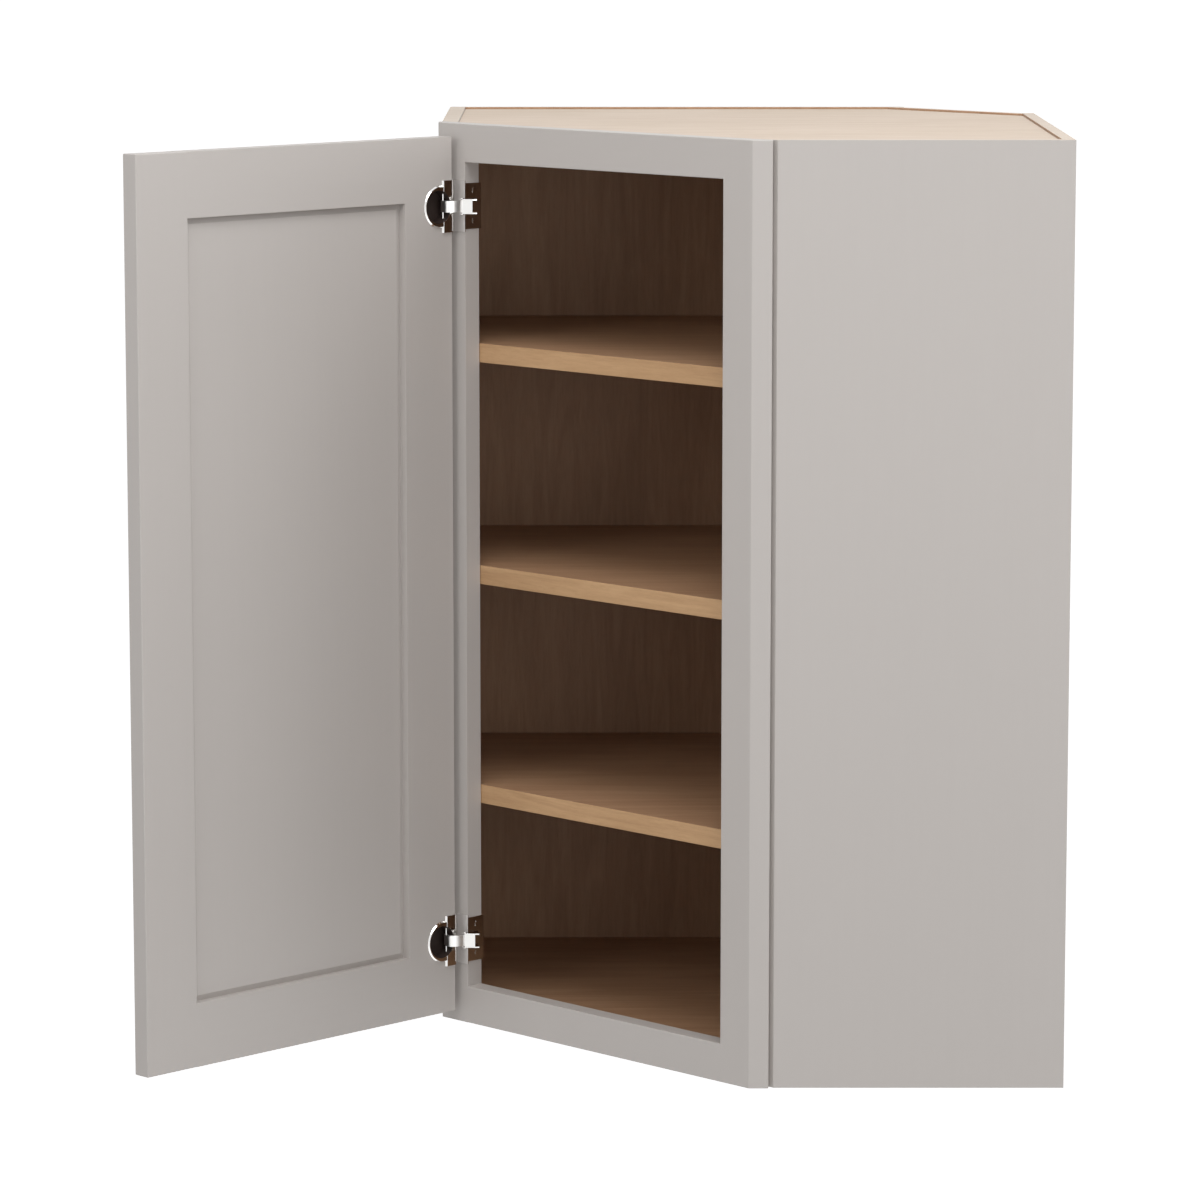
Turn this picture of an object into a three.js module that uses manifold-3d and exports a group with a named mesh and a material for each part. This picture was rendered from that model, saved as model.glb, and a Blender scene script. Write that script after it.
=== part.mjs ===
// Diagonal corner wall cabinet with its door standing open, in millimetres, +Z up.
// Origin: the room corner where the two walls meet, level with the cabinet's underside.
// The rear wall is the plane Y = 0 and the right wall is the plane X = 0.
// The face frame runs on the diagonal and looks towards -X -Y.
import * as THREE from 'three';
import { mergeVertices } from 'three/addons/utils/BufferGeometryUtils.js';
import Module from 'manifold-3d';

const wasm = await Module();
wasm.setup();

// ---- Driving dimensions: carcass ----
const WALL_LENGTH = 609.6;        // along each wall, from the room corner to the frame's edge
const END_DEPTH = 304.8;          // from each wall to the frame's outer corner
const HEIGHT = 914.4;
const END_THICKNESS = 15.9;
const BACK_THICKNESS = 12;
const DECK_THICKNESS = 15.9;      // top and bottom panels
const TOP_RECESS = 2;             // top panel below the upper edges
const BOTTOM_RECESS = 3.5;        // bottom panel above the lower edges
const CLIPPED_CORNER = 127;       // the back panels stop this far from the room corner
const GLUE_GAP = 0.3;             // between neighbouring pieces that are glued or screwed

// ---- Driving dimensions: face frame ----
const FRAME_THICKNESS = 19.05;
const STILE_WIDTH = 38.1;
const RAIL_WIDTH = 38.1;
const FRAME_OVERHANG = 3.2;       // frame edge proud of the end panels
const STILE_RETURN = 19.4;        // side face of a stile, parallel to its end panel

// ---- Driving dimensions: shelves and their pins ----
const SHELF_THICKNESS = 19;
const SHELF_PITCH = 224.9;        // from one standing surface to the next
const SHELF_CLEARANCE = 1.5;      // to the end and back panels
const SHELF_SETBACK = 0.8;        // edge band behind the frame
const EDGE_BAND = 0.8;
const SHELF_REST_GAP = 0.2;       // between a shelf and the pins under it
const PIN_PEG_RADIUS = 2.5;
const PIN_PEG_LENGTH = 8;
const PIN_HEAD_RADIUS = 3.5;
const PIN_HEAD_LENGTH = 9;
const PIN_FRONT_OFFSET = 36;      // from the end of an end panel back to its pin
const PIN_REAR_OFFSET = 60;       // from the end of a back panel to its pin

// ---- Driving dimensions: door ----
const DOOR_REVEAL_SIDE = 11.7;    // frame left showing beside the closed door
const DOOR_REVEAL_END = 12.7;     // frame left showing above and below the door
const DOOR_THICKNESS = 19.05;
const DOOR_MEMBER = 63.5;         // width of the door's stiles and rails
const PANEL_THICKNESS = 6.35;
const PANEL_RECESS = 6;           // centre panel below the door's inner face
const TONGUE = 9.2;               // panel and rail tongues in their grooves
const GROOVE_PLAY = 0.3;
const CLOSED_GAP = 3.5;           // closed door in front of the frame
const OPEN_FACE = 28;             // open door's inner face, along the frame from its corner
const OPEN_STANDOFF = 8.6;        // open door's hinge edge in front of the frame

// ---- Driving dimensions: hinges ----
const HINGE_INSET_TOP = 69;       // hinge centre below the door's top
const HINGE_INSET_BOTTOM = 74;    // hinge centre above the door's bottom
const CUP_BORE_RADIUS = 17.5;
const CUP_BORE_CENTRE = 19.3;     // from the door's hinge edge
const CUP_DEPTH = 12.8;           // clear depth below the door's inner face
const CUP_WALL = 0.7;
const FLANGE_RADIUS = 21.2;
const FLANGE_CENTRE = 16.6;       // from the door's hinge edge
const FLANGE_SLOPE = 1.2;         // width of the flange's sloping rim
const FLANGE_THICKNESS = 1.5;
const PAD_THICKNESS = 1.8;        // raised pads beside the cup's mouth
const PAD_WIDTH = 13.5;
const PAD_SLOPE = 1.4;            // width of a pad's sloping side
const PAD_HALF_HEIGHT = 26;
const PAD_NOTCH = [[1.8, 10.2], [7.9, 16], [10.4, 18.5], [12.1, 19.7], [16, 19.7]];
const HARDWARE_GAP = 0.3;         // between metal and the wood it is screwed to
const EDGE_MARGIN = 0.3;          // flange and pads stay inside the door's edge
const DOWEL_RADIUS = 4;
const DOWEL_LENGTH = 9.5;
const DOWEL_INSET = 7.5;          // dowel axis from the door's hinge edge
const DOWEL_OFFSET = 21;          // dowel axis above and below the hinge centre
const ARM_PIVOT_ALONG = 37.8;     // arm's frame-side pin, along the frame from its corner
const ARM_PIVOT_OUT = 3.8;        // the same pin, in front of the frame
const KNUCKLE_DEPTH = 5;          // arm's cup-side pin, below the door's inner face
const ARM_THICKNESS = 3;
const ARM_HEIGHT = 11.4;
const ARM_EYE_RADIUS = 2.1;
const ARM_BEND = [[0, 0], [1.5, 2.6], [4.6, 4.7], [8.5, 4.8], [12.2, 2.6]];
const PIN_RADIUS = 1.1;
const PIN_PLAY = 0.1;             // between a pin and what turns on it
const RIVET_RADIUS = 2;
const RIVET_THICKNESS = 0.9;
const EAR_THICKNESS = 1.3;
const EAR_PLAY = 0.4;             // between the arm and each ear
const EAR_NOSE = [[40.6, 6.2], [45.1, 1.6], [48.4, -0.4], [51, -4]];
const WEB_THICKNESS = 1;
const PLATE_THICKNESS = 0.8;
const PLATE_HALF_HEIGHT = 25.5;
const PLATE_FRONT_WIDTH = 14.4;   // part of the plate on the frame's front face
const PLATE_SIDE_DEPTH = 21;      // part of the plate along the stile's inner edge
const PLATE_SIDE_HALF_HEIGHT = 22.8;
const SCREW_RADIUS = 1.6;
const SCREW_HEAD_RADIUS = 3.2;
const SCREW_LENGTH = 14;
const SCREW_BACK = 12;            // screw axis behind the frame's front face
const SCREW_OFFSET = 15;          // screw axis above and below the hinge centre
const SCREW_PLAY = 0.15;
const ROUND_STEPS = 24;
const CUP_STEPS = 56;

// ---- Derived sizes ----
const FRAME_LENGTH = (WALL_LENGTH - END_DEPTH) * Math.SQRT2;
const END_FACE = -WALL_LENGTH + FRAME_OVERHANG;
const END_INNER = END_FACE + END_THICKNESS;
const CORNER_OUTER = CLIPPED_CORNER + BACK_THICKNESS + GLUE_GAP * Math.SQRT2;
const CORNER_INNER = CORNER_OUTER + BACK_THICKNESS * Math.SQRT2;
const FLOOR_TOP = BOTTOM_RECESS + DECK_THICKNESS;
const DOOR_HEIGHT = HEIGHT - 2 * DOOR_REVEAL_END;
const DOOR_WIDTH = FRAME_LENGTH - 2 * DOOR_REVEAL_SIDE;
const PIN_HOLE_RADIUS = PIN_RADIUS + PIN_PLAY;
const PLATE_OUTER = HARDWARE_GAP + PLATE_THICKNESS;
const EAR_INNER = ARM_HEIGHT / 2 + EAR_PLAY;
const EAR_OUTER = EAR_INNER + EAR_THICKNESS;
const HINGES = [
  { name: 'upper_hinge', height: DOOR_HEIGHT - HINGE_INSET_TOP },
  { name: 'lower_hinge', height: HINGE_INSET_BOTTOM },
];
const SHELVES = ['bottom_shelf', 'middle_shelf', 'top_shelf'];

// ---- Finishes ----
const painted = new THREE.MeshStandardMaterial({ color: 0xc4bfb8, roughness: 0.45, metalness: 0 });
const rawPly = new THREE.MeshStandardMaterial({ color: 0xddccbc, roughness: 0.7, metalness: 0 });
const veneer = new THREE.MeshStandardMaterial({ color: 0xc1a079, roughness: 0.55, metalness: 0 });
const maple = new THREE.MeshStandardMaterial({ color: 0xc6a27a, roughness: 0.5, metalness: 0 });
const nickel = new THREE.MeshStandardMaterial({ color: 0xd8d6d2, roughness: 0.15, metalness: 1 });
const plastic = new THREE.MeshStandardMaterial({ color: 0xb9b4ab, roughness: 0.6, metalness: 0 });

// ---- Solids ----
function solidOf(geometry) {
  const bare = geometry.clone();
  bare.deleteAttribute('normal');
  bare.deleteAttribute('uv');
  const merged = mergeVertices(bare, 1e-4);
  const vertProperties = new Float32Array(merged.attributes.position.array);
  const triVerts = new Uint32Array(merged.index.array);
  return new wasm.Manifold(new wasm.Mesh({ numProp: 3, vertProperties, triVerts }));
}

function geometryOf(solid) {
  const mesh = solid.getMesh();
  const geometry = new THREE.BufferGeometry();
  geometry.setAttribute('position', new THREE.BufferAttribute(mesh.vertProperties, 3));
  geometry.setIndex(new THREE.BufferAttribute(mesh.triVerts, 1));
  geometry.computeVertexNormals();
  return geometry;
}

function cut(geometry, ...cutters) {
  return geometryOf(cutters.reduce((solid, cutter) => solid.subtract(solidOf(cutter)), solidOf(geometry)));
}

function join(geometry, ...others) {
  return geometryOf(others.reduce((solid, other) => solid.add(solidOf(other)), solidOf(geometry)));
}

function box([x0, x1], [y0, y1], [z0, z1]) {
  const geometry = new THREE.BoxGeometry(x1 - x0, y1 - y0, z1 - z0);
  return geometry.translate((x0 + x1) / 2, (y0 + y1) / 2, (z0 + z1) / 2);
}

// An outline in the XY plane, raised along Z.
function prism(outline, [z0, z1]) {
  const shape = new THREE.Shape(outline.map(([x, y]) => new THREE.Vector2(x, y)));
  return new THREE.ExtrudeGeometry(shape, { depth: z1 - z0, bevelEnabled: false }).translate(0, 0, z0);
}

// A round bar along Z, placed by its axis.
function bar(radius, [x, y], [z0, z1], steps = ROUND_STEPS) {
  const geometry = new THREE.CylinderGeometry(radius, radius, z1 - z0, steps);
  return geometry.rotateX(Math.PI / 2).translate(x, y, (z0 + z1) / 2);
}

function turned(profile, steps = ROUND_STEPS) {
  return new THREE.LatheGeometry(profile.map(([r, y]) => new THREE.Vector2(r, y)), steps);
}

function piece(name, geometry, material) {
  const mesh = new THREE.Mesh(geometry, material);
  mesh.name = name;
  return mesh;
}

const swapAxes = (outline) => outline.map(([x, y]) => [y, x]);

// X + Y on a line that lies this far behind the frame's front face.
const behindFrame = (distance) => -(WALL_LENGTH + END_DEPTH) + distance * Math.SQRT2;

// ---- Carcass ----
function endPanelOutline() {
  const front = behindFrame(FRAME_THICKNESS + GLUE_GAP);
  return [[END_FACE, 0], [END_FACE, front - END_FACE], [END_INNER, front - END_INNER], [END_INNER, 0]];
}

function backPanelOutline() {
  const end = END_INNER + GLUE_GAP;
  return [[end, -BACK_THICKNESS], [-CLIPPED_CORNER, -BACK_THICKNESS], [-CLIPPED_CORNER, 0], [end, 0]];
}

function cornerPanelOutline() {
  const b = BACK_THICKNESS + GLUE_GAP;
  return [[-(CORNER_OUTER - b), -b], [-(CORNER_INNER - b), -b], [-b, -(CORNER_INNER - b)], [-b, -(CORNER_OUTER - b)]];
}

// The space inside the carcass, less a clearance on its walls; front is the distance behind the frame's face.
function insideOutline(clearance, front) {
  const low = END_INNER + clearance;
  const back = -BACK_THICKNESS - clearance;
  const corner = -CORNER_INNER - clearance * Math.SQRT2;
  const frontSum = behindFrame(front);
  return [
    [low, frontSum - low], [frontSum - low, low], [back, low],
    [back, corner - back], [corner - back, back], [low, back],
  ];
}

// Where each shelf is held: panel face, position along it, and the way the pin's peg points.
function pinPlaces() {
  const frontEnd = behindFrame(FRAME_THICKNESS + GLUE_GAP) - END_INNER + PIN_FRONT_OFFSET;
  const rearEnd = -CLIPPED_CORNER - PIN_REAR_OFFSET;
  return [
    { panel: 'left_end_panel', x: END_INNER, y: frontEnd, turn: Math.PI / 2 },
    { panel: 'right_end_panel', x: frontEnd, y: END_INNER, turn: Math.PI },
    { panel: 'rear_back_panel', x: rearEnd, y: -BACK_THICKNESS, turn: 0 },
    { panel: 'right_back_panel', x: -BACK_THICKNESS, y: rearEnd, turn: -Math.PI / 2 },
  ];
}

const shelfTop = (level) => FLOOR_TOP + SHELF_PITCH * (level + 1);
const pinHeight = (level) => shelfTop(level) - SHELF_THICKNESS - SHELF_REST_GAP - PIN_HEAD_RADIUS;

function pinHoles(panel) {
  const holes = [];
  for (const place of pinPlaces().filter((p) => p.panel === panel)) {
    for (const level of SHELVES.keys()) {
      const hole = new THREE.CylinderGeometry(
        PIN_PEG_RADIUS + PIN_PLAY, PIN_PEG_RADIUS + PIN_PLAY, 2 * (PIN_PEG_LENGTH + PIN_PLAY), ROUND_STEPS);
      holes.push(hole.rotateZ(place.turn).translate(place.x, place.y, pinHeight(level)));
    }
  }
  return holes;
}

function buildCarcass() {
  const carcass = new THREE.Group();
  const wall = (name, outline, material) => {
    carcass.add(piece(name, cut(prism(outline, [0, HEIGHT]), ...pinHoles(name)), material));
  };
  wall('left_end_panel', endPanelOutline(), painted);
  wall('right_end_panel', swapAxes(endPanelOutline()), painted);
  wall('rear_back_panel', backPanelOutline(), veneer);
  wall('right_back_panel', swapAxes(backPanelOutline()), veneer);
  wall('corner_back_panel', cornerPanelOutline(), veneer);
  const deck = insideOutline(GLUE_GAP, FRAME_THICKNESS + GLUE_GAP);
  const topHigh = HEIGHT - TOP_RECESS;
  carcass.add(piece('bottom_panel', prism(deck, [BOTTOM_RECESS, FLOOR_TOP]), veneer));
  carcass.add(piece('top_panel', prism(deck, [topHigh - DECK_THICKNESS, topHigh]), rawPly));
  return carcass;
}

// ---- Shelves ----
function shelfPin(name, place, level) {
  const pin = turned([
    [0, -PIN_HEAD_LENGTH], [PIN_HEAD_RADIUS, -PIN_HEAD_LENGTH], [PIN_HEAD_RADIUS, -GLUE_GAP],
    [PIN_PEG_RADIUS, -GLUE_GAP], [PIN_PEG_RADIUS, PIN_PEG_LENGTH], [0, PIN_PEG_LENGTH],
  ]);
  const mesh = piece(name, pin, nickel);
  mesh.position.set(place.x, place.y, pinHeight(level));
  mesh.rotation.z = place.turn;
  return mesh;
}

function buildShelf(name, level) {
  const group = new THREE.Group();
  const heights = [shelfTop(level) - SHELF_THICKNESS, shelfTop(level)];
  const bandFront = FRAME_THICKNESS + SHELF_SETBACK;
  const boardFront = bandFront + EDGE_BAND + GLUE_GAP;
  const board = insideOutline(SHELF_CLEARANCE, boardFront);
  group.add(piece(name, prism(board, heights), veneer));
  const halfLength = (board[1][0] - board[0][0]) / Math.SQRT2;
  const band = piece(`${name}_edge_band`, box([-halfLength, halfLength], [0, EDGE_BAND], heights), maple);
  const middle = behindFrame(bandFront) / 2;
  band.position.set(middle, middle, 0);
  band.rotation.z = -Math.PI / 4;
  group.add(band);
  pinPlaces().forEach((place, index) => {
    group.add(shelfPin(`${name}_pin_${index + 1}`, place, level));
  });
  return group;
}

// ---- Face frame: x runs along the diagonal from its left corner, y into the cabinet ----
function screwHeights(hinge) {
  const centre = DOOR_REVEAL_END + hinge.height;
  return [centre + SCREW_OFFSET, centre - SCREW_OFFSET];
}

function stileOutline() {
  const side = STILE_RETURN / Math.SQRT2;
  return [
    [0, 0], [STILE_WIDTH, 0], [STILE_WIDTH, FRAME_THICKNESS],
    [FRAME_THICKNESS - 2 * side, FRAME_THICKNESS], [-side, side],
  ];
}

function buildFrame() {
  const frame = new THREE.Group();
  const screwHoles = HINGES.flatMap(screwHeights).map((z) => {
    const radius = SCREW_RADIUS + SCREW_PLAY;
    const hole = new THREE.CylinderGeometry(radius, radius, 2 * SCREW_LENGTH, ROUND_STEPS);
    return hole.rotateZ(Math.PI / 2).translate(STILE_WIDTH, SCREW_BACK, z);
  });
  const left = cut(prism(stileOutline(), [0, HEIGHT]), ...screwHoles);
  const right = prism(stileOutline().map(([x, y]) => [FRAME_LENGTH - x, y]), [0, HEIGHT]);
  frame.add(piece('frame_stile_left', left, painted));
  frame.add(piece('frame_stile_right', right, painted));
  const along = [STILE_WIDTH + GLUE_GAP, FRAME_LENGTH - STILE_WIDTH - GLUE_GAP];
  const through = [0, FRAME_THICKNESS];
  frame.add(piece('frame_rail_bottom', box(along, through, [0, RAIL_WIDTH]), painted));
  frame.add(piece('frame_rail_top', box(along, through, [HEIGHT - RAIL_WIDTH, HEIGHT]), painted));
  return frame;
}

// ---- Door: x from its hinge edge, y = 0 on its inner face and -thickness on its front ----
const GROOVE_DEPTH = TONGUE + GROOVE_PLAY;
const PANEL_FACES = [-PANEL_RECESS - PANEL_THICKNESS, -PANEL_RECESS];
const GROOVE_FACES = [PANEL_FACES[0] - GROOVE_PLAY, PANEL_FACES[1] + GROOVE_PLAY];

// Section of a door member, its groove on the side at +x.
function memberOutline() {
  const floor = DOOR_MEMBER - GROOVE_DEPTH;
  return [
    [0, 0], [0, -DOOR_THICKNESS], [DOOR_MEMBER, -DOOR_THICKNESS], [DOOR_MEMBER, GROOVE_FACES[0]],
    [floor, GROOVE_FACES[0]], [floor, GROOVE_FACES[1]], [DOOR_MEMBER, GROOVE_FACES[1]], [DOOR_MEMBER, 0],
  ];
}

function hingeBores(hinge) {
  const radius = CUP_BORE_RADIUS;
  const depth = CUP_DEPTH + CUP_WALL + HARDWARE_GAP;
  const bore = new THREE.CylinderGeometry(radius, radius, 2 * depth, CUP_STEPS);
  bore.translate(CUP_BORE_CENTRE, 0, hinge.height);
  const sockets = [DOWEL_OFFSET, -DOWEL_OFFSET].map((offset) => {
    const wide = DOWEL_RADIUS + HARDWARE_GAP;
    const socket = new THREE.CylinderGeometry(wide, wide, 2 * (DOWEL_LENGTH + HARDWARE_GAP), ROUND_STEPS);
    return socket.translate(DOWEL_INSET, 0, hinge.height + offset);
  });
  return [bore, ...sockets];
}

// A rail for the door's lower end, with a tongue at each end for the stiles' grooves.
function doorRail() {
  const ends = [DOOR_MEMBER + GLUE_GAP, DOOR_WIDTH - DOOR_MEMBER - GLUE_GAP];
  const body = box(ends, [-DOOR_THICKNESS, 0], [0, DOOR_MEMBER]);
  const groove = box([0, DOOR_WIDTH], GROOVE_FACES, [DOOR_MEMBER - GROOVE_DEPTH, 2 * DOOR_MEMBER]);
  const tongueEnds = [DOOR_MEMBER - TONGUE, DOOR_WIDTH - DOOR_MEMBER + TONGUE];
  const tongue = box(tongueEnds, PANEL_FACES, [0, DOOR_MEMBER - GROOVE_DEPTH]);
  return join(cut(body, groove), tongue);
}

function flip(geometry, span) {
  return geometry.rotateY(Math.PI).translate(DOOR_WIDTH, 0, span);
}

function buildDoor() {
  const door = new THREE.Group();
  const stile = prism(memberOutline(), [0, DOOR_HEIGHT]);
  const panelSpan = (length) => [DOOR_MEMBER - TONGUE, length - DOOR_MEMBER + TONGUE];
  door.add(piece('door_stile_hinge', cut(stile, ...HINGES.flatMap(hingeBores)), painted));
  door.add(piece('door_stile_free', flip(stile.clone(), DOOR_HEIGHT), painted));
  door.add(piece('door_rail_bottom', doorRail(), painted));
  door.add(piece('door_rail_top', flip(doorRail(), DOOR_HEIGHT), painted));
  door.add(piece('door_panel', box(panelSpan(DOOR_WIDTH), PANEL_FACES, panelSpan(DOOR_HEIGHT)), painted));
  return door;
}

// ---- Hinge pieces that sit in the door ----

// The cup-side pin lies as far from the arm's frame-side pin with the door closed as with it open.
function knuckleInset() {
  const closedAlong = DOOR_REVEAL_SIDE - ARM_PIVOT_ALONG;
  const closedOut = CLOSED_GAP + KNUCKLE_DEPTH - ARM_PIVOT_OUT;
  const openAlong = OPEN_FACE - KNUCKLE_DEPTH - ARM_PIVOT_ALONG;
  const openOut = OPEN_STANDOFF - ARM_PIVOT_OUT;
  const squares = openAlong ** 2 + openOut ** 2 - closedAlong ** 2 - closedOut ** 2;
  return squares / (2 * (closedAlong - openOut));
}

const KNUCKLE_INSET = knuckleInset();

function cupGeometry() {
  const outer = CUP_BORE_RADIUS - HARDWARE_GAP;
  const inner = outer - CUP_WALL;
  const rimTop = HARDWARE_GAP + FLANGE_THICKNESS;
  const shell = turned([
    [0, -CUP_DEPTH - CUP_WALL], [outer, -CUP_DEPTH - CUP_WALL], [outer, rimTop],
    [inner, rimTop], [inner, -CUP_DEPTH], [0, -CUP_DEPTH],
  ], CUP_STEPS).translate(CUP_BORE_CENTRE, 0, 0);
  const flange = turned([
    [0, HARDWARE_GAP], [FLANGE_RADIUS, HARDWARE_GAP], [FLANGE_RADIUS - FLANGE_SLOPE, rimTop], [0, rimTop],
  ], CUP_STEPS).translate(FLANGE_CENTRE, 0, 0);
  const mouth = new THREE.CylinderGeometry(inner, inner, 2 * CUP_DEPTH, CUP_STEPS);
  mouth.translate(CUP_BORE_CENTRE, 0, 0);
  const pads = [1, -1].map((side) => padGeometry(side));
  const trim = box([-FLANGE_RADIUS, EDGE_MARGIN], [-CUP_DEPTH, CUP_DEPTH], [-FLANGE_RADIUS, FLANGE_RADIUS]);
  const pinHole = bar(PIN_HOLE_RADIUS, [KNUCKLE_INSET, -KNUCKLE_DEPTH], [-CUP_BORE_RADIUS, CUP_BORE_RADIUS]);
  return cut(join(shell, flange, ...pads), mouth, trim, pinHole);
}

// A raised pad above (side 1) or below (side -1) the cup's mouth, notched towards the arm.
function padGeometry(side) {
  const low = HARDWARE_GAP;
  const high = HARDWARE_GAP + PAD_THICKNESS;
  const section = [
    [EDGE_MARGIN, low], [EDGE_MARGIN + PAD_WIDTH, low],
    [EDGE_MARGIN + PAD_WIDTH - PAD_SLOPE, high], [EDGE_MARGIN, high],
  ];
  const start = PAD_NOTCH[0][1];
  const span = side > 0 ? [start, PAD_HALF_HEIGHT] : [-PAD_HALF_HEIGHT, -start];
  const across = [...PAD_NOTCH, [PAD_NOTCH.at(-1)[0], 0], [PAD_NOTCH[0][0], 0]];
  const notch = prism(across.map(([x, z]) => [EDGE_MARGIN + x, -side * z]), [-high, high]);
  notch.rotateX(Math.PI / 2).translate(0, HARDWARE_GAP + FLANGE_THICKNESS + high, 0);
  return cut(prism(section, span), notch);
}

// The pin across the cup that the arm turns on, ground flush with the cup's outside.
function cupPinGeometry() {
  const outer = CUP_BORE_RADIUS - HARDWARE_GAP;
  const pin = bar(PIN_RADIUS, [KNUCKLE_INSET, -KNUCKLE_DEPTH], [-outer, outer]);
  const body = new THREE.CylinderGeometry(outer, outer, 2 * CUP_DEPTH, CUP_STEPS);
  body.translate(CUP_BORE_CENTRE, 0, 0);
  return geometryOf(solidOf(pin).intersect(solidOf(body)));
}

function dowelGeometry() {
  return new THREE.CylinderGeometry(DOWEL_RADIUS, DOWEL_RADIUS, DOWEL_LENGTH, ROUND_STEPS);
}

function buildDoorHardware(hinge) {
  const group = new THREE.Group();
  group.position.z = hinge.height;
  group.add(piece(`${hinge.name}_cup`, cupGeometry(), nickel));
  group.add(piece(`${hinge.name}_cup_pin`, cupPinGeometry(), nickel));
  [DOWEL_OFFSET, -DOWEL_OFFSET].forEach((offset, index) => {
    const dowel = piece(`${hinge.name}_dowel_${index + 1}`, dowelGeometry(), plastic);
    dowel.position.set(DOWEL_INSET, -DOWEL_LENGTH / 2, offset);
    group.add(dowel);
  });
  return group;
}

// ---- Hinge pieces that sit on the frame: x along the frame, y into the cabinet ----

// The arm, drawn as it lies with the door closed, from its frame-side pin at (0, 0).
function armGeometry() {
  const knuckle = [
    DOOR_REVEAL_SIDE + KNUCKLE_INSET - ARM_PIVOT_ALONG,
    ARM_PIVOT_OUT - CLOSED_GAP - KNUCKLE_DEPTH,
  ];
  const centreLine = [...ARM_BEND.map(([x, out]) => [knuckle[0] + x, knuckle[1] - out]), [0, 0]];
  const curve = new THREE.CatmullRomCurve3(centreLine.map(([x, y]) => new THREE.Vector3(x, y, 0)));
  const left = [];
  const right = [];
  for (let step = 0; step <= ROUND_STEPS; step += 1) {
    const point = curve.getPoint(step / ROUND_STEPS);
    const way = curve.getTangent(step / ROUND_STEPS);
    left.push([point.x - way.y * ARM_THICKNESS / 2, point.y + way.x * ARM_THICKNESS / 2]);
    right.push([point.x + way.y * ARM_THICKNESS / 2, point.y - way.x * ARM_THICKNESS / 2]);
  }
  const span = [-ARM_HEIGHT / 2, ARM_HEIGHT / 2];
  const strip = prism([...left, ...right.reverse()], span);
  const eyes = [knuckle, [0, 0]].map((centre) => bar(ARM_EYE_RADIUS, centre, span));
  const holes = [knuckle, [0, 0]].map((centre) => bar(PIN_HOLE_RADIUS, centre, [-ARM_HEIGHT, ARM_HEIGHT]));
  return cut(join(strip, ...eyes), ...holes);
}

// How far the arm turns between the closed and the open door.
function armSwing() {
  const angle = (along, out) => Math.atan2(-(out - ARM_PIVOT_OUT), along - ARM_PIVOT_ALONG);
  const closed = angle(DOOR_REVEAL_SIDE + KNUCKLE_INSET, CLOSED_GAP + KNUCKLE_DEPTH);
  const open = angle(OPEN_FACE - KNUCKLE_DEPTH, OPEN_STANDOFF + KNUCKLE_INSET);
  return open - closed;
}

function earGeometry(span) {
  const back = STILE_WIDTH + HARDWARE_GAP;
  const noseFar = EAR_NOSE.at(-1);
  const outline = [
    [back, PLATE_SIDE_DEPTH - EAR_OUTER], [noseFar[0], -noseFar[1]],
    ...EAR_NOSE.slice(0, -1).reverse().map(([x, out]) => [x, -out]),
    [ARM_PIVOT_ALONG - ARM_EYE_RADIUS, -EAR_NOSE[0][1]], [ARM_PIVOT_ALONG - ARM_EYE_RADIUS, -PLATE_OUTER],
    [back, -PLATE_OUTER],
  ];
  return prism(outline, span);
}

// The web that joins the two ears along their nose.
function webGeometry() {
  const nose = EAR_NOSE.slice(0, 3);
  const outline = [
    ...nose.map(([x, out]) => [x, -out]),
    ...nose.map(([x, out]) => [x - WEB_THICKNESS, WEB_THICKNESS / 2 - out]).reverse(),
  ];
  return prism(outline, [-EAR_OUTER, EAR_OUTER]);
}

function basePlateGeometry() {
  const front = STILE_WIDTH - PLATE_FRONT_WIDTH;
  const inner = STILE_WIDTH + HARDWARE_GAP;
  const outer = STILE_WIDTH + PLATE_OUTER;
  const high = [-PLATE_HALF_HEIGHT, PLATE_HALF_HEIGHT];
  const sideHigh = [-PLATE_SIDE_HALF_HEIGHT, PLATE_SIDE_HALF_HEIGHT];
  const wing = box([front, outer], [-PLATE_OUTER, -HARDWARE_GAP], high);
  const side = box([inner, outer], [-PLATE_OUTER, PLATE_SIDE_DEPTH], sideHigh);
  const ears = [[EAR_INNER, EAR_OUTER], [-EAR_OUTER, -EAR_INNER]].map(earGeometry);
  const pinHole = bar(PIN_HOLE_RADIUS, [ARM_PIVOT_ALONG, -ARM_PIVOT_OUT], [-2 * EAR_OUTER, 2 * EAR_OUTER]);
  const countersinks = [SCREW_OFFSET, -SCREW_OFFSET].map((z) => {
    return screwGeometry(SCREW_PLAY).translate(outer, SCREW_BACK, z);
  });
  return cut(join(wing, side, ...ears, webGeometry()), pinHole, ...countersinks);
}

// A countersunk screw along -x with its head flush at x = 0; grown by play it is the hole for one.
function screwGeometry(play = 0) {
  const shank = SCREW_RADIUS + play;
  const slope = (SCREW_HEAD_RADIUS - SCREW_RADIUS) / PLATE_THICKNESS;
  const head = SCREW_HEAD_RADIUS + play + slope * play;
  const tip = -SCREW_LENGTH;
  return turned([[0, tip], [shank, tip], [shank, -PLATE_THICKNESS], [head, play], [0, play]]).rotateZ(-Math.PI / 2);
}

function rivetGeometry() {
  const face = EAR_OUTER + PIN_PLAY;
  const end = face + RIVET_THICKNESS;
  return turned([
    [0, -end], [RIVET_RADIUS, -end], [RIVET_RADIUS, -face], [PIN_RADIUS, -face],
    [PIN_RADIUS, face], [RIVET_RADIUS, face], [RIVET_RADIUS, end], [0, end],
  ]).rotateX(Math.PI / 2);
}

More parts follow.
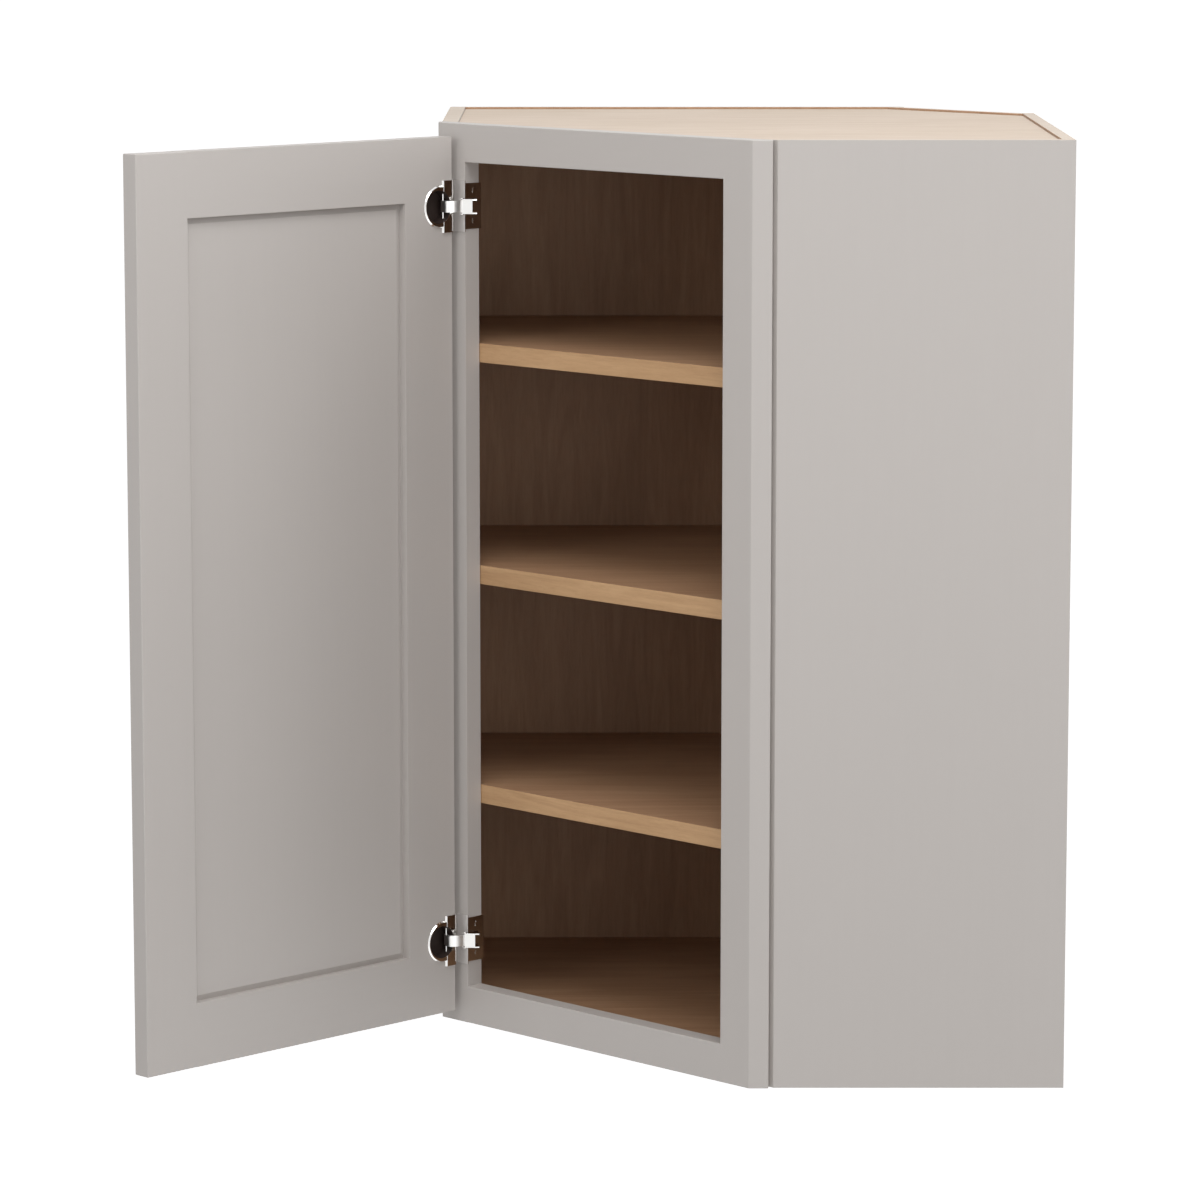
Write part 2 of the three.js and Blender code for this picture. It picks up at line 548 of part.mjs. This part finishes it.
function buildFrameHardware(hinge) {
  const group = new THREE.Group();
  group.position.z = DOOR_REVEAL_END + hinge.height;
  group.add(piece(`${hinge.name}_base_plate`, basePlateGeometry(), nickel));
  const pivot = new THREE.Group();
  pivot.position.set(ARM_PIVOT_ALONG, -ARM_PIVOT_OUT, 0);
  const arm = piece(`${hinge.name}_arm`, armGeometry(), nickel);
  arm.rotation.z = armSwing();
  pivot.add(arm, piece(`${hinge.name}_arm_pin`, rivetGeometry(), nickel));
  group.add(pivot);
  [SCREW_OFFSET, -SCREW_OFFSET].forEach((offset, index) => {
    const screw = piece(`${hinge.name}_screw_${index + 1}`, screwGeometry(), nickel);
    screw.position.set(STILE_WIDTH + PLATE_OUTER, SCREW_BACK, offset);
    group.add(screw);
  });
  return group;
}

// ---- Assembly ----
const cabinet = new THREE.Group();
cabinet.add(buildCarcass());
SHELVES.forEach((name, level) => cabinet.add(buildShelf(name, level)));

const diagonal = new THREE.Group();
diagonal.position.set(-WALL_LENGTH, -END_DEPTH, 0);
diagonal.rotation.z = -Math.PI / 4;
diagonal.add(buildFrame());
HINGES.forEach((hinge) => diagonal.add(buildFrameHardware(hinge)));

const openDoor = buildDoor();
HINGES.forEach((hinge) => openDoor.add(buildDoorHardware(hinge)));
openDoor.position.set(OPEN_FACE, -OPEN_STANDOFF, DOOR_REVEAL_END);
openDoor.rotation.z = -Math.PI / 2;
diagonal.add(openDoor);
cabinet.add(diagonal);

export default cabinet;
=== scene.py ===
import math

import bmesh
import bpy
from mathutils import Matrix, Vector


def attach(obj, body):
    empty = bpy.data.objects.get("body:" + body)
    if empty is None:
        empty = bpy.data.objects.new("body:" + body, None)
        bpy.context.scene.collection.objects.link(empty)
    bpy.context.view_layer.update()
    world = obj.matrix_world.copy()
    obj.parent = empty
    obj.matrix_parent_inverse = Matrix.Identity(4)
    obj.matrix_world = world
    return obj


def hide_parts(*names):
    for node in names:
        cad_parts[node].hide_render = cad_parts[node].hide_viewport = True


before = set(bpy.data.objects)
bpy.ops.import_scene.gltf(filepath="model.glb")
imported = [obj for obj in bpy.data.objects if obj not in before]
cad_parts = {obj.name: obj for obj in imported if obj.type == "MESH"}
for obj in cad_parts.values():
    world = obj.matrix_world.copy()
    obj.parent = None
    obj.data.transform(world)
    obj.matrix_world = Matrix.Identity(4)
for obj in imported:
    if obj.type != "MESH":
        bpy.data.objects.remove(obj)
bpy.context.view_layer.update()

# ---- Sizes and places in metres: the room corner is the origin, the face frame lies across it ----
WALL, END, HEIGHT = 0.6096, 0.3048, 0.9144     # along each wall, each end's depth, and the height
ALONG = Vector((1, -1, 0)) / math.sqrt(2)      # along the face frame, left to right
OUT = Vector((-1, -1, 0)) / math.sqrt(2)       # out of the face frame, and along the open door
CORNER = Vector((-WALL, -END, 0))              # the frame's left corner
FRAME_LENGTH = (WALL - END) * math.sqrt(2)
STILE = RAIL = 0.0381                          # widths of the face frame's members
SHELVES = ("bottom_shelf", "middle_shelf", "top_shelf")

DOOR_LOW, DOOR_HIGH = 0.0127, 0.9017
DOOR_REVEAL = 0.0117                           # what shows of the frame beside the closed door
DOOR_WIDTH = FRAME_LENGTH - 2 * DOOR_REVEAL
DOOR_FACE = 0.028                              # the open door's inner face, along the frame
DOOR_STANDOFF = 0.0086                         # the open door's hinge edge in front of the frame
DOOR_HINGE = CORNER + DOOR_STANDOFF * OUT      # that edge, seen from above
MEMBER = 0.0635                                # width of the door's members
PANEL_RECESS = 0.006                           # the panel's inner face below the members'
SLOPE_RUN, SLOPE_FALL = 0.006, 0.0026          # the panel's border, falling away to the members

HINGE_HEIGHTS = {"upper_hinge": 0.8327, "lower_hinge": 0.0867}
CUP_CENTRE, CUP_INSIDE = 0.0193, 0.0168        # from the door's hinge edge, and the radius inside
CUP_MOUTH = 0.0016                             # the mouth in front of the door's inner face

JOINT_FILL = 0.0003                            # painted rails reach this far into their joints
FRAME_NEAR, DOOR_NEAR = 0.001, 0.0006          # a point this near to a joint belongs to it
SHOWN_NEAR, FOOT_NEAR = 0.0001, 0.00001        # the same for the panel's face, and for its border
TOP_NEAR = 0.001                               # the same for the cabinet's upper edges
FACING = 0.9                                   # a normal this much along a way faces that way

# Widths of the eased edges
END_EASE, SHEET_EASE, BAND_EASE = 0.0006, 0.0004, 0.0003
FRAME_EASE, DOOR_EASE = 0.0008, 0.0010
CUP_EASE, ARM_EASE, PLATE_EASE, SMALL_EASE = 0.00035, 0.0004, 0.0003, 0.0002
PEG_EASE, DOWEL_EASE = 0.0004, 0.0005

# Meshes, with angles in degrees
SAME_PLACE, WELD_REACH = 0.000002, 0.000005
FLAT_ANGLE, SHARP_ANGLE = 0.6, 28

# Floor, light and camera
FLOOR_Z = -1.372                               # wall cabinets hang 54 in above the floor
FLOOR_REACH = 160
FLOOR_GLOW = 0.72                              # lifts the floor to white for the eye alone
SKY_LEVEL, SKY_LEAN = 0.26, 0.8                # the surround's light, and how much more from above
MIDDLE = Vector((-0.42, -0.45, 0.46))          # what the lamps are aimed at
LAMP_SIZE, LAMP_DISTANCE = 1.6, 3.0
LAMPS = (                                      # degrees round from the front and above, and power
    ("over_front", 10, 60, 30),
    ("over_left", -15, 45, 8),
    ("front_right", 20, 5, 13),
    ("front_left", -46, 24, 17),
    ("side_low", 80, 15, 13),
    ("side_high", 80, 55, 18),
    ("behind_right", 130, 20, 6),
)
CAMERA_PLACE = (-0.44815, -5.4036, 1.1939)
CAMERA_TILT = 8.499                            # degrees down from level
SENSOR, LENS = 36, 152.66
NEAR_CLIP, FAR_CLIP = 0.1, 400

scene = bpy.context.scene
scene.view_settings.view_transform = "Standard"


def along_frame(point):
    """How far right of the frame's left corner a point lies, along the frame."""
    return (point - CORNER).dot(ALONG)


def along_door(point):
    """How far from the open door's hinge edge a point lies, along the door."""
    return (point - DOOR_HINGE).dot(OUT)


# ---- Materials ----
class Nodes:
    """A material's node tree, with short calls for what the finishes share."""

    def __init__(self, name):
        self.material = bpy.data.materials.new(name)
        self.material.use_nodes = True
        self.tree = self.material.node_tree
        self.shader = self.tree.nodes["Principled BSDF"]
        self.place = self.add("ShaderNodeTexCoord").outputs["Object"]

    def add(self, kind, **values):
        node = self.tree.nodes.new(kind)
        for key, value in values.items():
            setattr(node, key, value)
        return node

    def link(self, a, b):
        self.tree.links.new(a, b)

    def stretched(self, scale, turn=0.0):
        """Object coordinates, turned about Z and scaled, so a pattern can run along a board."""
        first = self.add("ShaderNodeMapping")
        first.inputs["Rotation"].default_value = (0, 0, turn)
        self.link(self.place, first.inputs["Vector"])
        second = self.add("ShaderNodeMapping")
        second.inputs["Scale"].default_value = scale
        self.link(first.outputs["Vector"], second.inputs["Vector"])
        return second.outputs["Vector"]

    def noise(self, vector, scale, detail=3.0, distortion=0.0):
        node = self.add("ShaderNodeTexNoise")
        node.inputs["Scale"].default_value = scale
        node.inputs["Detail"].default_value = detail
        node.inputs["Distortion"].default_value = distortion
        self.link(vector, node.inputs["Vector"])
        return node.outputs["Fac"]

    def ramp(self, value, *stops):
        node = self.add("ShaderNodeValToRGB")
        ramp = node.color_ramp
        while len(ramp.elements) < len(stops):
            ramp.elements.new(0.5)
        for element, (position, colour) in zip(ramp.elements, stops):
            element.position = position
            element.color = (*colour, 1)
        self.link(value, node.inputs["Fac"])
        return node.outputs["Color"]

    def mix(self, blend, factor, a, b):
        node = self.add("ShaderNodeMix", data_type="RGBA", blend_type=blend)
        node.inputs["Factor"].default_value = factor
        self.link(a, node.inputs["A"])
        self.link(b, node.inputs["B"])
        return node.outputs["Result"]

    def colour(self, socket):
        self.link(socket, self.shader.inputs["Base Color"])

    def specular(self, level):
        self.shader.inputs["Specular IOR Level"].default_value = level

    def roughness(self, value, low, high):
        node = self.add("ShaderNodeMapRange")
        node.inputs["To Min"].default_value = low
        node.inputs["To Max"].default_value = high
        self.link(value, node.inputs["Value"])
        self.link(node.outputs["Result"], self.shader.inputs["Roughness"])

    def bump(self, height, strength, distance):
        node = self.add("ShaderNodeBump")
        node.inputs["Strength"].default_value = strength
        node.inputs["Distance"].default_value = distance
        self.link(height, node.inputs["Height"])
        self.link(node.outputs["Normal"], self.shader.inputs["Normal"])


def scaled(colour, factor):
    return tuple(c * factor for c in colour)


def paint(name, colour, turn, upright):
    """Satin sprayed paint: faint clouding, a whisper of the wood's grain, and fine orange peel."""
    m = Nodes(name)
    along = (18, 18, 0.9) if upright else (0.9, 18, 18)
    grain = m.noise(m.stretched(along, turn), 9.0, 4.0, 0.4)
    cloud = m.noise(m.place, 2.6, 2.0)
    base = m.ramp(cloud, (0.3, scaled(colour, 0.992)), (0.7, scaled(colour, 1.008)))
    veil = m.ramp(grain, (0.35, (0.994, 0.994, 0.994)), (0.65, (1, 1, 1)))
    m.colour(m.mix("MULTIPLY", 1.0, base, veil))
    peel = m.noise(m.place, 900.0, 2.0)
    m.roughness(cloud, 0.40, 0.50)
    m.bump(peel, 0.06, 0.0004)
    m.specular(0.4)
    return m.material


def wood(name, dark, light, scale, turn=0.0, rough=(0.45, 0.6), pores=0.5):
    """Fine close-grained wood. The grain runs along the axis whose scale is small."""
    m = Nodes(name)
    run = m.stretched(scale, turn)
    broad = m.noise(run, 5.0, 3.0, 1.2)
    fine = m.noise(run, 38.0, 5.0, 0.3)
    fleck = m.noise(run, 130.0, 3.0)
    cloud = m.noise(m.place, 5.5, 3.0)
    base = m.ramp(broad, (0.3, dark), (0.7, light))
    streak = m.ramp(fine, (0.3, (0.92, 0.90, 0.87)), (0.62, (1, 1, 1)))
    dots = m.ramp(fleck, (0.30, (0.86, 0.82, 0.76)), (0.46, (1, 1, 1)))
    blotch = m.ramp(cloud, (0.3, (0.94, 0.93, 0.91)), (0.7, (1, 1, 1)))
    grained = m.mix("MULTIPLY", 1.0, m.mix("MULTIPLY", 1.0, base, streak), blotch)
    m.colour(m.mix("MULTIPLY", pores, grained, dots))
    m.roughness(fine, *rough)
    m.bump(fine, 0.12, 0.0003)
    return m.material


def metal(name, colour, low, high):
    """Plated metal with faint handling marks in its polish."""
    m = Nodes(name)
    haze = m.noise(m.place, 160.0, 4.0, 0.6)
    m.colour(m.ramp(haze, (0.2, scaled(colour, 0.94)), (0.8, colour)))
    m.shader.inputs["Metallic"].default_value = 1.0
    m.roughness(haze, low, high)
    m.bump(m.noise(m.place, 700.0, 2.0), 0.03, 0.0002)
    return m.material


def painted_cup_shade(name):
    """Painted shade for the inside of a hinge's cup: dull, dark and a little brown, put on the
    metal for the shade in its hollow.
    """
    m = Nodes(name)
    haze = m.noise(m.place, 220.0, 3.0)
    m.colour(m.ramp(haze, (0.3, (0.040, 0.027, 0.023)), (0.7, (0.047, 0.032, 0.027))))
    m.specular(0.25)
    m.roughness(haze, 0.45, 0.6)
    return m.material


def moulded(name):
    """Plain grey plastic with a fine speckle."""
    m = Nodes(name)
    speck = m.noise(m.place, 420.0, 3.0)
    m.colour(m.ramp(speck, (0.3, (0.42, 0.40, 0.36)), (0.7, (0.49, 0.46, 0.42))))
    m.roughness(speck, 0.5, 0.65)
    m.bump(speck, 0.08, 0.0003)
    return m.material


PAINT = (0.535, 0.500, 0.475)
MAPLE = (0.405, 0.233, 0.134), (0.49, 0.298, 0.178)        # dark and light, here and below
BAND = (0.512, 0.308, 0.158), (0.620, 0.392, 0.212)
RAW = (0.66, 0.544, 0.449), (0.72, 0.613, 0.518)
RAW_EDGE = (0.68, 0.590, 0.510), (0.73, 0.645, 0.565)
RAW_ROUGH, RAW_PORES = (0.6, 0.75), 0.3
UPRIGHT_GRAIN, FLAT_GRAIN = (14, 14, 1.2), (1.2, 14, 14)
DIAGONAL = math.radians(45)

paint_upright = paint("painted_upright", PAINT, 0.0, True)
paint_along = paint("painted_along", PAINT, DIAGONAL, False)
paint_door = paint("painted_door_rail", PAINT, -DIAGONAL, False)
raw_edge = wood("raw_edge", *RAW_EDGE, FLAT_GRAIN, rough=RAW_ROUGH, pores=RAW_PORES)
raw_top = wood("raw_top", *RAW, FLAT_GRAIN, rough=RAW_ROUGH, pores=RAW_PORES)
maple_upright = wood("maple_upright", *MAPLE, UPRIGHT_GRAIN)
maple_flat = wood("maple_flat", *MAPLE, FLAT_GRAIN)
maple_edge = wood("maple_edge", *BAND, FLAT_GRAIN, DIAGONAL)
nickel = metal("polished_nickel", (0.86, 0.85, 0.83), 0.06, 0.14)
satin = metal("satin_nickel", (0.90, 0.89, 0.87), 0.28, 0.36)
# The front wing's own copy of the nickel, darker and rougher, is set for how light falls on that
# face: painted light, not a finish of its own.
wing_painted_light = metal("plate_face_painted_light", (0.76, 0.73, 0.715), 0.50, 0.58)
steel = metal("pin_steel", (0.72, 0.71, 0.69), 0.22, 0.34)
# The cup's inside takes painted shade: a dull dark brown in place of the nickel, standing in for
# the shade in the hollow.
cup_painted_shade = painted_cup_shade("cup_inside_painted_shade")
plastic = moulded("moulded_plastic")


# ---- Changes of a mesh, made before its edges are eased ----
def bisect(work, place, normal):
    geometry = [*work.verts, *work.edges, *work.faces]
    bmesh.ops.bisect_plane(work, geom=geometry, plane_co=place, plane_no=normal)


def cut_across(*heights):
    """Cuts a mesh across at these heights, so that an edge can be eased between them only."""

    def shape(work):
        for height in heights:
            bisect(work, (0, 0, height), (0, 0, 1))

    return shape


def lengthened(axis, amount):
    """Moves both ends of a mesh outwards along an axis."""

    def shape(work):
        places = [v.co.dot(axis) for v in work.verts]
        middle = (min(places) + max(places)) / 2
        for vert, place in zip(work.verts, places):
            vert.co += axis * (amount if place > middle else -amount)

    return shape


def inside_members(point):
    """How far a point of the door's panel lies inside the members' inner edges."""
    along = min(along_door(point) - MEMBER, DOOR_WIDTH - MEMBER - along_door(point))
    return min(along, point.z - DOOR_LOW - MEMBER, DOOR_HIGH - MEMBER - point.z)


def sloping_border(work):
    """Lets the border of the panel's inner face fall away towards the members round it."""
    for step in (-SHOWN_NEAR, 0, SLOPE_RUN):
        near = MEMBER + step
        for place in (near, DOOR_WIDTH - near):
            bisect(work, DOOR_HINGE + place * OUT, OUT)
        for height in (DOOR_LOW + near, DOOR_HIGH - near):
            bisect(work, (0, 0, height), (0, 0, 1))
    face_place = DOOR_FACE - PANEL_RECESS
    shown = [v for v in work.verts if abs(along_frame(v.co) - face_place) < SHOWN_NEAR]
    foot = [v for v in shown if abs(inside_members(v.co)) < FOOT_NEAR]
    head = [v for v in shown if abs(inside_members(v.co) - SLOPE_RUN) < FOOT_NEAR]
    for face in list(work.faces):
        low = [v for v in face.verts if v in foot]
        high = [v for v in face.verts if v in head]
        if len(low) == 3 and len(high) == 1:
            across = max(low, key=lambda v: (v.co - high[0].co).length)
            bmesh.utils.face_split(face, across, high[0])
    for vert in foot:
        vert.co -= SLOPE_FALL * ALONG


# ---- Which edges are eased, by an edge's middle ----
# Where a rail meets a stile the edge stays sharp, so that the painted joint stays closed.
def always(point):
    return True


def never(point):
    return False


def stile_edges(point):
    place = along_frame(point)
    near = min(abs(place - STILE), abs(place - FRAME_LENGTH + STILE)) < FRAME_NEAR
    return not near or RAIL < point.z < HEIGHT - RAIL


def rail_edges(point):
    place = along_frame(point)
    return min(place - STILE, FRAME_LENGTH - STILE - place) > FRAME_NEAR


def door_stile_edges(point):
    place = along_door(point)
    near = min(abs(place - MEMBER), abs(place - DOOR_WIDTH + MEMBER)) < DOOR_NEAR
    return not near or DOOR_LOW + MEMBER < point.z < DOOR_HIGH - MEMBER


def door_rail_edges(point):
    place = along_door(point)
    return min(place - MEMBER, DOOR_WIDTH - MEMBER - place) > DOOR_NEAR


# ---- Which of a piece's materials a face has ----
def first_material(face):
    return 0


def top_edge(face):
    """1 on a panel's upper edge, where the sheet is left raw, and 0 elsewhere."""
    return int(face.normal.z > FACING and face.calc_center_median().z > HEIGHT - TOP_NEAR)


def front_wing(face):
    """1 on the part of a base plate that lies on the frame's front, which takes the painted-light
    copy of the nickel, and 0 elsewhere.
    """
    return int(face.normal.dot(OUT) > FACING)


def inside_cup(height):
    """1 on the faces inside the cup of the hinge at this height, which take the painted shade, and
    0 elsewhere.
    """

    def choose(face):
        middle = face.calc_center_median()
        radius = math.hypot(along_door(middle) - CUP_CENTRE, middle.z - height)
        return int(radius < CUP_INSIDE and along_frame(middle) < DOOR_FACE + CUP_MOUTH)

    return choose


# ---- Dressed copies of the CAD pieces ----
def dressed(node, body, slot, materials, width, eased=always, segments=3,
            shape=None, choose=first_material, curved=False):
    """A copy of a CAD piece with its edges eased, standing in the same place."""
    work = bmesh.new()
    work.from_mesh(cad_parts[node].data)
    bmesh.ops.remove_doubles(work, verts=work.verts, dist=SAME_PLACE)
    edges = [e for e in work.edges if e.is_manifold]
    flat = math.radians(FLAT_ANGLE)
    bmesh.ops.dissolve_limit(work, angle_limit=flat, verts=work.verts, edges=edges)
    if shape:
        shape(work)
    weight = work.edges.layers.float.new("bevel_weight_edge")
    for edge in work.edges:
        middle = (edge.verts[0].co + edge.verts[1].co) / 2
        sharp = edge.is_manifold and edge.calc_face_angle(0) > math.radians(SHARP_ANGLE)
        edge[weight] = 1.0 if sharp and eased(middle) else 0.0
        edge.smooth = not (sharp and edge[weight] == 0)
    for face in work.faces:
        face.smooth = curved
        face.material_index = choose(face)
    mesh = bpy.data.meshes.new("eased_" + node)
    work.to_mesh(mesh)
    work.free()
    piece = bpy.data.objects.new("eased_" + node, mesh)
    scene.collection.objects.link(piece)
    for material in materials:
        piece.data.materials.append(material)
    bevel = piece.modifiers.new("ease", "BEVEL")
    bevel.width = width
    bevel.segments = segments
    bevel.limit_method = "WEIGHT"
    bevel.use_clamp_overlap = True
    bevel.miter_outer = "MITER_ARC"
    weld = piece.modifiers.new("weld", "WELD")
    weld.merge_threshold = WELD_REACH
    if curved:
        normals = piece.modifiers.new("normals", "WEIGHTED_NORMAL")
        normals.keep_sharp = True
    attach(piece, body)
    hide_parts(node)


# Carcass
for name in ("left_end_panel", "right_end_panel"):
    skins = (paint_upright, raw_edge)
    dressed(name, "cabinet", "painted_wood", skins, END_EASE, choose=top_edge)
for name in ("rear_back_panel", "right_back_panel", "corner_back_panel"):
    skins = (maple_upright, raw_edge)
    dressed(name, "cabinet", "maple_veneer", skins, SHEET_EASE, choose=top_edge)
dressed("top_panel", "cabinet", "raw_plywood", (raw_top,), SHEET_EASE)
dressed("bottom_panel", "cabinet", "maple_veneer", (maple_flat,), SHEET_EASE)

# Face frame
cut = cut_across(RAIL, HEIGHT - RAIL)
for name in ("frame_stile_left", "frame_stile_right"):
    skins = (paint_upright,)
    dressed(name, "cabinet", "painted_wood", skins, FRAME_EASE, stile_edges, shape=cut)
longer = lengthened(ALONG, JOINT_FILL)
for name in ("frame_rail_top", "frame_rail_bottom"):
    skins = (paint_along,)
    dressed(name, "cabinet", "painted_wood", skins, FRAME_EASE, rail_edges, shape=longer)

# Shelves
for name in SHELVES:
    body = name + "_board"
    dressed(name, body, "maple_veneer", (maple_flat,), SHEET_EASE)
    dressed(name + "_edge_band", body, "maple_edge", (maple_edge,), BAND_EASE)
    for index in (1, 2, 3, 4):
        pin = f"{name}_pin_{index}"
        dressed(pin, "cabinet", "pin_steel", (steel,), PEG_EASE, segments=2, curved=True)

# Door
cut = cut_across(DOOR_LOW + MEMBER, DOOR_HIGH - MEMBER)
for name in ("door_stile_hinge", "door_stile_free"):
    skins = (paint_upright,)
    dressed(name, "door", "painted_wood", skins, DOOR_EASE, door_stile_edges, shape=cut)
longer = lengthened(OUT, JOINT_FILL)
for name in ("door_rail_top", "door_rail_bottom"):
    skins = (paint_door,)
    dressed(name, "door", "painted_wood", skins, DOOR_EASE, door_rail_edges, shape=longer)
skins = (paint_upright,)
dressed("door_panel", "door", "painted_wood", skins, SHEET_EASE, never, shape=sloping_border)

# Hinges
def plated(name, body, skins, width, **others):
    dressed(name, body, "hinge_nickel", skins, width, curved=True, **others)


for hinge, height in HINGE_HEIGHTS.items():
    arm_body = hinge.replace("_hinge", "_arm")
    inside = inside_cup(height)
    # The faces inside the cup get the painted shade; the rest of the cup is nickel.
    plated(hinge + "_cup", "door", (nickel, cup_painted_shade), CUP_EASE, choose=inside)
    plated(hinge + "_cup_pin", "door", (nickel,), SMALL_EASE, segments=2)
    plated(hinge + "_arm", arm_body, (satin,), ARM_EASE)
    plated(hinge + "_arm_pin", "cabinet", (nickel,), PLATE_EASE)
    # The base plate's front wing takes the painted-light copy of the nickel.
    plated(hinge + "_base_plate", "cabinet", (nickel, wing_painted_light), PLATE_EASE, choose=front_wing)
    for index in (1, 2):
        plated(f"{hinge}_screw_{index}", "cabinet", (nickel,), SMALL_EASE, segments=2)
        dowel = f"{hinge}_dowel_{index}"
        dressed(dowel, "door", "dowel_plastic", (plastic,), DOWEL_EASE, segments=2, curved=True)


# ---- Floor, light and camera ----
def seen_rays(tree):
    """1 for what the eye meets straight, in a mirror or through glass, and 0 for other rays."""
    path = tree.nodes.new("ShaderNodeLightPath")
    seen = path.outputs["Is Camera Ray"]
    for kind in ("Is Glossy Ray", "Is Transmission Ray"):
        either = tree.nodes.new("ShaderNodeMath")
        either.operation = "MAXIMUM"
        tree.links.new(seen, either.inputs[0])
        tree.links.new(path.outputs[kind], either.inputs[1])
        seen = either.outputs[0]
    return seen


def stage_floor():
    """A pale floor that keeps the shadow and is lifted to white for the eye."""
    mesh = bpy.data.meshes.new("floor")
    corners = [(x * FLOOR_REACH, y * FLOOR_REACH) for x, y in ((-1, -1), (1, -1), (1, 1), (-1, 1))]
    mesh.from_pydata([(x, y, FLOOR_Z) for x, y in corners], [], [(0, 1, 2, 3)])
    floor = bpy.data.objects.new("floor", mesh)
    scene.collection.objects.link(floor)
    m = Nodes("pale_floor")
    speck = m.noise(m.place, 3.0, 4.0)
    m.colour(m.ramp(speck, (0.3, (0.80, 0.80, 0.80)), (0.7, (0.82, 0.82, 0.82))))
    m.roughness(speck, 0.85, 0.95)
    m.specular(0.1)
    amount = m.add("ShaderNodeMath", operation="MULTIPLY")
    amount.inputs[1].default_value = FLOOR_GLOW
    m.link(seen_rays(m.tree), amount.inputs[0])
    glow = m.add("ShaderNodeEmission")
    m.link(amount.outputs[0], glow.inputs["Strength"])
    both = m.add("ShaderNodeAddShader")
    m.link(m.shader.outputs[0], both.inputs[0])
    m.link(glow.outputs[0], both.inputs[1])
    m.link(both.outputs[0], m.tree.nodes["Material Output"].inputs["Surface"])
    floor.data.materials.append(m.material)


def sky(level, lean):
    """A white surround, stronger from above, and plain white to the eye."""
    world = bpy.data.worlds.new("studio")
    scene.world = world
    world.use_nodes = True
    tree = world.node_tree
    back = tree.nodes["Background"]
    way = tree.nodes.new("ShaderNodeSeparateXYZ")
    tree.links.new(tree.nodes.new("ShaderNodeTexCoord").outputs["Generated"], way.inputs[0])
    lit = tree.nodes.new("ShaderNodeMapRange")
    lit.clamp = False
    lit.inputs["From Min"].default_value = -1
    lit.inputs["To Min"].default_value = level * (1 - lean)
    lit.inputs["To Max"].default_value = level * (1 + lean)
    tree.links.new(way.outputs["Z"], lit.inputs["Value"])
    strength = tree.nodes.new("ShaderNodeMapRange")
    strength.inputs["To Max"].default_value = 1.0
    tree.links.new(seen_rays(tree), strength.inputs["Value"])
    tree.links.new(lit.outputs["Result"], strength.inputs["To Min"])
    tree.links.new(strength.outputs["Result"], back.inputs["Strength"])
    back.inputs["Color"].default_value = (1, 1, 1, 1)


def softbox(name, round_from_front, above, power):
    """A square soft lamp aimed at the cabinet's middle, placed by two angles in degrees."""
    turn, rise = math.radians(round_from_front), math.radians(above)
    level = math.cos(rise)
    towards = Vector((math.sin(turn) * level, -math.cos(turn) * level, math.sin(rise)))
    light = bpy.data.lights.new(name, "AREA")
    light.size = LAMP_SIZE
    light.energy = power
    lamp = bpy.data.objects.new(name, light)
    scene.collection.objects.link(lamp)
    lamp.location = MIDDLE + LAMP_DISTANCE * towards
    lamp.rotation_euler = towards.to_track_quat("Z", "Y").to_euler()
    lamp.visible_camera = False


stage_floor()
sky(SKY_LEVEL, SKY_LEAN)
for lamp in LAMPS:
    softbox(*lamp)

view = bpy.data.cameras.new("view")
view.sensor_width = SENSOR
view.lens = LENS
view.clip_start, view.clip_end = NEAR_CLIP, FAR_CLIP
camera = bpy.data.objects.new("view", view)
scene.collection.objects.link(camera)
camera.location = CAMERA_PLACE
camera.rotation_euler = (math.radians(90 - CAMERA_TILT), 0, 0)
scene.camera = camera
